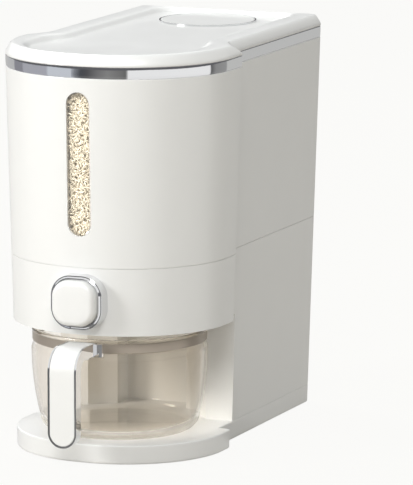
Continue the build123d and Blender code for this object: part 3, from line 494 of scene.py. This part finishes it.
def join_to(piece, others):
    """Make other pieces part of a piece."""
    alone(piece)
    for other in others:
        other.select_set(True)
    bpy.ops.object.join()


def dress(piece, name, slot_name, body, replaced=()):
    """Name a finished piece, give it its finish and its body, and hide what it stands for."""
    piece.name = name
    piece.data.name = name
    piece.data.materials.clear()
    piece.data.materials.append(finishes[slot_name])
    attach(piece, body)
    if replaced:
        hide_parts(*replaced)


def level_outline(height, inset, step_radius=step_outer_radius, root_radius=step_inner_radius,
                  ease=0.0, side=0.0):
    """Level line of the bin: a plate for the nose, drawn out to the back, its corners rounded.

    Where the nose steps in to the narrower rear, ease draws the step's corners apart before
    they're rounded. Side brings the long sides in by more than the inset.
    """
    shrink = draft * (band_low - height) + inset
    half_nose = nose_half_width - shrink - side
    half_rear = rear_half_width - shrink - side
    front, ledge, back = nose_front + shrink, step_line - shrink, rear_line - shrink
    bpy.ops.object.select_all(action="DESELECT")
    bpy.ops.mesh.primitive_plane_add(size=MM)
    plate = bpy.context.object
    pick_all(plate)
    bpy.ops.transform.resize(value=(2 * half_nose, ledge - front, 1), center_override=(0, 0, 0))
    bpy.ops.transform.translate(value=(0, (front + ledge) / 2 * MM, height * MM))

    # The middle third of the back edge takes the rear's width and is drawn out to the back
    before_ledge = (ledge - NEAR) * MM
    pick(plate, lambda corner: corner.co.y > before_ledge)
    bpy.ops.mesh.subdivide(number_cuts=2)
    within = (half_nose - NEAR) * MM
    pick(plate, lambda corner: corner.co.y > before_ledge and abs(corner.co.x) < within)
    bpy.ops.transform.resize(value=(3 * half_rear / half_nose, 1, 1), center_override=(0, 0, 0))
    reach = (0, (back - ledge) * MM, 0)
    bpy.ops.mesh.extrude_edges_move(TRANSFORM_OT_translate={"value": reach})
    within = (half_rear + NEAR) * MM
    pick(plate, lambda corner: on_line(corner.co.y, ledge) and abs(corner.co.x) < within)
    bpy.ops.mesh.dissolve_edges(use_verts=False)

    if ease:
        pick(plate, lambda corner: on_line(corner.co.y, ledge))
        bpy.ops.transform.translate(value=(0, -ease * MM, 0))
        pick(plate, lambda corner: on_line(abs(corner.co.x), half_rear)
             and corner.co.y < before_ledge)
        bpy.ops.transform.translate(value=(0, 2 * ease * MM, 0))

    corner_sets = (
        (lambda corner: corner.co.y < (front + NEAR) * MM,
         nose_radius - shrink - side, nose_segments),
        (lambda corner: abs(corner.co.x) > (half_nose - NEAR) * MM
         and corner.co.y > (ledge - ease - NEAR) * MM,
         max(least_corner_radius, step_radius - inset), corner_segments),
        (lambda corner: on_line(abs(corner.co.x), half_rear)
         and on_line(corner.co.y, ledge + ease),
         root_radius + min(inset, step_inner_radius), corner_segments),
        (lambda corner: corner.co.y > (back - NEAR) * MM,
         max(least_corner_radius, rear_corner_radius - inset + side), corner_segments),
    )
    for wanted, radius, segments in corner_sets:
        pick(plate, wanted)
        bpy.ops.mesh.bevel(offset=radius * MM, segments=segments, affect="VERTICES",
                           clamp_overlap=False)
    pick_all(plate)
    bpy.ops.mesh.delete(type="ONLY_FACE")
    bpy.ops.object.mode_set(mode="OBJECT")
    return plate


def skinned(levels, open_ring=False):
    """Skin over level lines, closed at both ends, or turned back on itself into a ring."""
    skin = level_outline(*levels[0])
    count = len(skin.data.vertices)
    for number, level in enumerate(levels[1:], 1):
        join_to(skin, [level_outline(*level)])
        first = (number - 1) * count
        pick(skin, lambda corner: corner.index >= first)
        bpy.ops.mesh.bridge_edge_loops()
        bpy.ops.object.mode_set(mode="OBJECT")
    last = (len(levels) - 1) * count
    if open_ring:
        pick(skin, lambda corner: corner.index >= last or corner.index < count)
        bpy.ops.mesh.bridge_edge_loops()
    else:
        pick(skin, lambda corner: corner.index < count)
        bpy.ops.mesh.edge_face_add()
        pick(skin, lambda corner: corner.index >= last)
        bpy.ops.mesh.edge_face_add()
    finish_mesh(skin)
    return skin


def turned(centre, profile, steps, open_ring=False, angle=30.0):
    """Round piece: a circle drawn out ring by ring along a profile of radius and height."""
    radius, height = profile[0]
    x, y = centre
    bpy.ops.object.select_all(action="DESELECT")
    bpy.ops.mesh.primitive_circle_add(vertices=steps, radius=radius * MM)
    piece = bpy.context.object
    pick_all(piece)
    bpy.ops.transform.translate(value=(x * MM, y * MM, height * MM))
    if not open_ring:
        bpy.ops.mesh.edge_face_add()
    for (old_radius, old_height), (radius, height) in zip(profile, profile[1:]):
        rise = (0, 0, (height - old_height) * MM)
        bpy.ops.mesh.extrude_edges_move(TRANSFORM_OT_translate={"value": rise})
        ratio = radius / old_radius
        bpy.ops.transform.resize(value=(ratio, ratio, 1),
                                 center_override=(x * MM, y * MM, height * MM))
    if not open_ring:
        bpy.ops.mesh.edge_face_add()
    finish_mesh(piece, angle)
    return piece


def upright_plate(width, height, centre):
    """Plate that faces the front, left selected in edit mode."""
    bpy.ops.object.select_all(action="DESELECT")
    bpy.ops.mesh.primitive_plane_add(size=MM, rotation=(pi / 2, 0, 0))
    plate = bpy.context.object
    bpy.ops.object.transform_apply(location=False, rotation=True, scale=False)
    pick_all(plate)
    bpy.ops.transform.resize(value=(width, 1, height), center_override=(0, 0, 0))
    bpy.ops.transform.translate(value=Vector(centre) * MM)
    return plate


def rounded_plate(width, height, radius, centre, segments=20):
    """Upright plate with rounded corners, left selected in edit mode."""
    plate = upright_plate(width, height, centre)
    bpy.ops.mesh.bevel(offset=radius * MM, segments=segments, affect="VERTICES",
                       clamp_overlap=False)
    pick_all(plate)
    return plate


# Lid

# Heights above the band
lid_underside = 3.0
lid_floor = 5.4
web_middle = 1.5

seat_radius, seat_depth = 43.0, 1.3
hole_radius = 39.1
knuckle_radius, knuckle_width = 3.2, 51.2
web_thickness = 2.2
web_overlap = 1.5

# The steps of the lid's outline turn into wide bends, which are full at this inset
full_bend_inset = 6.2
step_radius_gain = 5.3
root_radius_gain = 7.7
bend_ease = 8.0


def rim_level(height, inset, side=0.0):
    """Level line of the lid above the band, its steps drawn into soft bends towards the crest."""
    share = min(1.0, inset / full_bend_inset)
    step_radius = inset + step_outer_radius + step_radius_gain * share
    root_radius = step_inner_radius + root_radius_gain * share - min(inset, step_inner_radius)
    return band_high + height, inset, step_radius, root_radius, bend_ease * share, side


def make_knuckle():
    """Knuckle of the lid round the hinge's pin, and the web between it and the lid."""
    low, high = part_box("hinge_pin")
    hinge_y = (low.y + high.y) / 2
    bpy.ops.object.select_all(action="DESELECT")
    bpy.ops.mesh.primitive_cylinder_add(
        vertices=48, radius=knuckle_radius * MM, depth=knuckle_width * MM,
        rotation=(0, pi / 2, 0), location=(0, hinge_y, band_high * MM))
    knuckle = bpy.context.object
    bpy.ops.object.transform_apply(location=True, rotation=True, scale=True)
    apply_bevel(knuckle, 0.5, segments=2)
    bpy.ops.object.select_all(action="DESELECT")
    bpy.ops.mesh.primitive_cube_add(size=MM)
    web = bpy.context.object
    pick_all(web)
    back, front = hinge_y / MM, rear_line - web_overlap
    bpy.ops.transform.resize(value=(knuckle_width, back - front, web_thickness),
                             center_override=(0, 0, 0))
    middle = (0, (back + front) / 2 * MM, (band_high + web_middle) * MM)
    bpy.ops.transform.translate(value=middle)
    apply_bevel(web, 0.3, segments=2)
    return knuckle, web


def make_lid():
    """Lid shell with a rounded raised rim, a sunk floor, the round cover's seat and a knuckle."""
    under = band_high + lid_underside
    underside = [(under, hidden_inset), (band_high + 0.4, hidden_inset), (band_high + 0.1, 2.2),
                 (band_high, 0.35)]

    # Height above the band, inset, and how much further in the long sides are
    rim = [
        (0.25, 0.05), (0.6, 0.0), (1.4, 0.02), (2.6, 0.5), (4.0, 1.25), (5.6, 2.2), (7.2, 3.25),
        (8.4, 4.25), (9.2, 5.1), (9.7, 5.9), (9.92, 6.6, 1.5), (9.96, 7.0, 8.0),
        (9.8, 7.4, 13.0), (9.4, 7.7, 15.0), (8.7, 8.05, 15.9), (7.6, 8.45, 16.5),
        (6.5, 8.85, 17.0), (5.8, 9.3, 17.4), (5.47, 9.9, 18.0), (lid_floor, 10.8, 19.0),
    ]
    lid = skinned(underside + [rim_level(*row) for row in rim])
    low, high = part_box("desiccant_ring")
    middle = ((low.x + high.x) / 2 / MM, (low.y + high.y) / 2 / MM)
    floor_level = band_high + lid_floor
    seat_level = floor_level - seat_depth

    # The tool for hole and seat runs out of the lid below and above
    profile = [(hole_radius, under - 8), (hole_radius, seat_level), (seat_radius, seat_level),
               (seat_radius, floor_level + 3)]
    cut_away(lid, turned(middle, profile, steps=96))
    join_to(lid, make_knuckle())
    finish_mesh(lid, angle=24.0)
    dress(lid, "lid_shell", "white_shell", "lid", ("lid",))


# Housing

# The slot is wider than the window, so the dark seal shows round it as a thin outline, partly
# painted shade of the window's edge.
slot_width, slot_height, slot_radius = 21.4, 122.2, 10.69
slot_tool_start, slot_tool_length = step_line - 40, 110


def make_chrome_trim():
    """Bright band round the rim, slightly crowned, with rolled edges."""
    rolled_edge = [(0.12, 1.2), (0.02, 0.5), (0.25, 0.22), (0.8, 0.12)]
    crown = [(3.0, 0.04), (5.0, 0.0), (7.0, 0.04)]
    levels = [(band_low + rise, inset) for rise, inset in rolled_edge + crown]
    levels += [(band_high - rise, inset) for rise, inset in reversed(rolled_edge)]
    trim = skinned(levels, open_ring=True)
    dress(trim, "chrome_trim", "chrome", "housing", ("chrome_band",))


def make_upper_shell():
    """Shell of the bin, with softened lower and upper edges and the slot of the window."""
    # The last line of each edge keeps the shading of the tall side between them plain
    lower_edge = [(0.12, hidden_inset), (0.02, 0.55), (0.3, 0.15), (0.75, 0.0), (1.5, 0.0)]
    upper_edge = [(0.12, hidden_inset), (0.02, 0.5), (0.2, 0.12), (0.5, 0.0), (1.2, 0.0)]
    levels = [(seam + rise, inset) for rise, inset in lower_edge]
    levels += [(band_low - drop, inset) for drop, inset in reversed(upper_edge)]
    shell = skinned(levels, open_ring=True)
    slot = rounded_plate(slot_width, slot_height, slot_radius,
                         (0, slot_tool_start, window_middle), segments=24)
    draw_out(0, -slot_tool_length, 0)
    finish_mesh(slot)
    cut_away(shell, slot)
    finish_mesh(shell, angle=24.0)
    dress(shell, "upper_shell", "white_shell", "housing", ("upper_housing",))


def make_base():
    """Foot of the bin, with a rounded upper edge and a hollow underside."""
    hollow = [(14.8, hidden_inset), (1.4, hidden_inset)]
    lower_edge = [(1.12, 2.2), (1.02, 1.3), (1.3, 0.5), (2.0, 0.08), (3.0, 0.0), (4.0, 0.0)]
    upper_edge = [(15.1, 0.0), (15.9, 0.0), (16.6, 0.12), (17.05, 0.5), (17.28, 1.2), (17.3, 2.2)]
    base = skinned(hollow + lower_edge + upper_edge)
    dress(base, "base_foot", "white_shell", "housing", ("base_tray",))


# Jug and handle

# The jug's own heights start at its foot, which stands this high on the base
jug_stand = 17.32
jug_segments = 160
heel_start, heel_radius, heel_rings = 56.0, 12.6, 12
inner_heel_height = 13.6
side_top = 69.0
side_rings = 16

# Height and radius at three places of the bowed side, outside and inside
outer_bow = ((12.5, 68.6), (36, 73.2), (70, 75.6))
inner_bow = ((12.5, 66.0), (36, 70.6), (70, 73.0))

handle_reach = 154.7
handle_top = 104.6
handle_low = 21.5
handle_bend = 20.0
handle_half_width = 12.9
groove_setback, face_setback = 1.4, 1.5


def bowed(height, points):
    """Radius at a height on the curve through three points of height and radius."""
    total = 0.0
    for this in points:
        share = this[1]
        for other in points:
            if other is not this:
                share *= (height - other[0]) / (this[0] - other[0])
        total += share
    return total


def bowed_side(start, end, points):
    """Rings of a bowed wall from one height to another."""
    heights = [start + (end - start) * n / (side_rings - 1) for n in range(side_rings)]
    return [(bowed(height, points), height) for height in heights]


def make_jug():
    """Glass jug, turned from the middle of its foot, up the outside and down the inside."""
    profile = [(2.0, 0.0), (40.0, 0.0), (heel_start, 0.0)]
    profile += [(heel_start + heel_radius * sin(turn), heel_radius - heel_radius * cos(turn))
                for turn in (pi / 2 * n / heel_rings for n in range(1, heel_rings))]
    profile += bowed_side(heel_radius, side_top, outer_bow)

    # Shoulder, neck and rounded lip, then the neck and the shoulder from inside
    profile += [
        (75.5, 70.6), (75.2, 71.8), (74.2, 74.8), (73.6, 76.6), (73.4, 78.0), (73.4, 85.6),
        (73.6, 85.8), (75.0, 85.8), (75.3, 86.1), (75.4, 86.6), (75.4, 87.8), (75.2, 88.4),
        (74.7, 88.75), (73.1, 88.8), (71.5, 88.75), (71.0, 88.4), (70.8, 87.8), (70.8, 78.0),
        (71.0, 76.6), (71.6, 74.8), (72.6, 71.8), (72.9, 70.6),
    ]
    profile += bowed_side(side_top, inner_heel_height, inner_bow)
    profile += [
        (65.6, 11.6), (64.6, 9.6), (62.8, 7.6), (60.2, 6.1), (57.0, 5.25), (53.0, 5.0),
        (30.0, 5.0), (2.0, 5.0),
    ]
    standing = [(radius, height + jug_stand) for radius, height in profile]
    jug = turned((0, jug_axis), standing, jug_segments, angle=50.0)
    dress(jug, "glass_jug", "jug_glass", "jug", ("jug_glass",))


def make_jug_collar():
    """Steel band round the jug's neck, with rolled edges."""
    low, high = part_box("jug_band")
    bottom, top = low.z / MM, high.z / MM
    rolled_edge = [(73.5, 0.3), (73.7, 0.05), (74.4, 0.0), (74.75, 0.25), (74.85, 0.8)]
    profile = [(radius, bottom + rise) for radius, rise in rolled_edge]
    profile += [(radius, top - drop) for radius, drop in reversed(rolled_edge)]
    profile.append(profile[0])
    collar = turned((0, jug_axis), profile, jug_segments, open_ring=True)
    dress(collar, "jug_collar", "band_steel", "jug", ("jug_band",))


def bent_strap(root_y, half_width, inward, thickness):
    """Strap drawn forward, bent down and drawn to a rounded lower end.

    Inward is how far its outer face lies inside the handle's own.
    """
    top = handle_top - inward
    bend = handle_bend - inward
    bend_y = step_line - handle_reach + inward + bend
    low = handle_low + handle_half_width - half_width
    strap = upright_plate(2 * half_width, thickness, (0, root_y, top - thickness / 2))
    draw_out(0, bend_y - root_y, 0)
    bpy.ops.mesh.spin(steps=18, angle=pi / 2, center=(0, bend_y * MM, (top - bend) * MM),
                      axis=(-1, 0, 0))
    draw_out(0, 0, low - (top - bend))
    pick(strap, lambda one, two: max(one.z, two.z) < (low + NEAR) * MM
         and on_line(one.x - two.x, 0), edges=True)
    bpy.ops.mesh.bevel(offset=(half_width - NEAR) * MM, segments=20, affect="EDGES",
                       clamp_overlap=False)
    finish_mesh(strap)
    return strap


def make_handle():
    """Chrome strap with a groove, and the white face let into it."""
    root_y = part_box("handle_frame")[1].y / MM
    strap = bent_strap(root_y, half_width=12.98, inward=0.0, thickness=10.0)
    groove = bent_strap(root_y - groove_setback, half_width=11.5, inward=-1.0, thickness=2.2)
    cut_away(strap, groove)
    apply_bevel(strap, 0.25, limit=40.0)
    finish_mesh(strap, angle=35.0)
    dress(strap, "handle_strap", "chrome", "jug", ("handle_frame",))
    face = bent_strap(root_y - face_setback, half_width=11.3, inward=0.02, thickness=1.3)
    apply_bevel(face, 0.5, limit=40.0)
    finish_mesh(face, angle=35.0)
    dress(face, "handle_face", "white_shell", "jug", ("handle_inlay",))


# Button

# The rim is built forward from the first depth, and its bore is cut from the second
rim_width, rim_height, rim_radius = 49.2, 48.6, 19.3
rim_depth, rim_foot = 15.5, 0.5
bore_width, bore_height, bore_radius = 39.92, 39.32, 14.66
bore_depth, bore_length = 20.0, 30.0
cap_corner_radius = 14.3
cap_rounding, cap_rounding_steps = 4.9, 9
crown_height = 0.35


def make_button_rim():
    """Flared bright surround with a rolled lip and a stepped face, bored through for the cap."""
    low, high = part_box("button_bezel")
    front, middle = low.y / MM, (low.z + high.z) / 2 / MM
    rim = rounded_plate(rim_width, rim_height, rim_radius, (0, front + rim_depth, middle))
    draw_out(0, -rim_foot, 0)

    # Insets of (width, depth), from the outside in
    flare = [(0.5, 4.0), (0.6, 5.0), (0.25, 4.0)]
    lip = [(0.03, 0.2), (0.08, 0.17), (0.12, 0.08)]
    stepped_face = [(0.8, 0.0), (0.08, 0.05), (0.95, 1.1), (0.08, 0.05), (0.9, 0.0)]
    inner_edge = [(0.15, -0.1), (0.08, -0.2), (0.04, -0.3)]
    press_forward(flare + lip + stepped_face + inner_edge)
    finish_mesh(rim)
    bore = rounded_plate(bore_width, bore_height, bore_radius, (0, front + bore_depth, middle))
    draw_out(0, -bore_length, 0)
    finish_mesh(bore)
    cut_away(rim, bore)
    finish_mesh(rim, angle=35.0)
    dress(rim, "button_rim", "chrome", "housing", ("button_bezel",))


def make_button_cap():
    """Pillow-shaped cap of the button."""
    low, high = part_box("button_cap")
    width, height = (high.x - low.x) / MM, (high.z - low.z) / MM
    front, back, middle = low.y / MM, high.y / MM, (low.z + high.z) / 2 / MM
    cap = rounded_plate(width, height, cap_corner_radius, (0, back, middle))
    draw_out(0, front + cap_rounding + crown_height - back, 0)
    turns = [pi / 2 * n / cap_rounding_steps for n in range(cap_rounding_steps + 1)]
    rounded_edge = [(cap_rounding * (cos(one) - cos(two)), cap_rounding * (sin(two) - sin(one)))
                    for one, two in zip(turns, turns[1:])]
    crown = [(1.6, 0.13), (2.4, 0.12), (3.0, 0.07)]
    press_forward(rounded_edge + crown)
    finish_mesh(cap, angle=40.0)
    dress(cap, "button_face", "white_shell", "button", ("button_cap",))


# Rice behind the window

grain_size = (0.85, 0.75, 2.6)
grain_scales = (0.85, 1.1)
grain_pitch, grain_yaw = 0.25, 0.3
tip_start, tip_share = 1.2, 0.8
heap_low, heap_height, heap_half_width = 195.0, 121.0, 10.0

# Grains in each layer, and how deep the layers lie behind the bin's front
layer_counts = (420, 420, 300)
layer_start, layer_pitch, layer_spread = 4.9, 0.8, 0.4
window_curve = 0.0055
bed_width, bed_height = 24.0, 126.0
bed_columns, bed_rows = 12, 80
bed_start, bed_spread = 7.3, 0.5


def make_grain():
    """One grain with narrower tips, the model for the whole heap."""
    bpy.ops.object.select_all(action="DESELECT")
    bpy.ops.mesh.primitive_uv_sphere_add(segments=8, ring_count=6, radius=MM)
    grain = bpy.context.object
    pick_all(grain)
    bpy.ops.transform.resize(value=grain_size, center_override=(0, 0, 0))
    pick(grain, lambda corner: corner.co.z > tip_start * MM)
    bpy.ops.transform.resize(value=(tip_share, tip_share, 1.0), center_override=(0, 0, 0))
    alone(grain)
    bpy.ops.object.shade_smooth()
    return grain


def make_rice():
    """Heap of grains pressed against the window, in layers that follow its curve."""
    model = make_grain()
    grains = []
    for layer, count in enumerate(layer_counts):
        for number in range(count):
            z = heap_low + heap_height * (number + random.random()) / count
            x = random.uniform(-heap_half_width, heap_half_width)
            depth = (layer_start + layer * layer_pitch
                     + random.uniform(-layer_spread, layer_spread) + x * x * window_curve)
            grain = model.copy()
            grain.data = model.data.copy()
            bpy.context.scene.collection.objects.link(grain)
            face_y = nose_front + draft * (band_low - z)
            grain.location = Vector((x, face_y + depth, z)) * MM
            grain.rotation_euler = (random.uniform(-grain_pitch, grain_pitch),
                                    random.uniform(0, pi),
                                    random.uniform(-grain_yaw, grain_yaw))
            size = random.uniform(*grain_scales)
            grain.scale = (size, size, size)
            grains.append(grain)
    bpy.data.objects.remove(model)
    heap = grains[0]
    join_to(heap, grains[1:])
    bpy.ops.object.transform_apply(location=True, rotation=True, scale=True)
    dress(heap, "rice_grains", "rice", "housing")


def make_rice_bed():
    """Uneven surface that closes the gaps between the grains."""
    bpy.ops.object.select_all(action="DESELECT")
    bpy.ops.mesh.primitive_grid_add(x_subdivisions=bed_columns, y_subdivisions=bed_rows, size=MM,
                                    rotation=(pi / 2, 0, 0))
    bed = bpy.context.object
    bpy.ops.object.transform_apply(location=False, rotation=True, scale=False)
    pick_all(bed)
    bpy.ops.transform.resize(value=(bed_width, 1, bed_height), center_override=(0, 0, 0))
    place = Vector((0, nose_front + bed_start, window_middle)) * MM
    bpy.ops.transform.translate(value=place)
    alone(bed)
    for corner in bed.data.vertices:
        lean = draft * (band_low - corner.co.z / MM)
        corner.co.y += (lean + random.uniform(-bed_spread, bed_spread)) * MM
    bpy.ops.object.shade_smooth()
    dress(bed, "rice_bed", "rice", "housing")


make_lid()
make_chrome_trim()
make_upper_shell()
make_base()
make_jug()
make_jug_collar()
make_handle()
make_button_rim()
make_button_cap()
make_rice()
make_rice_bed()
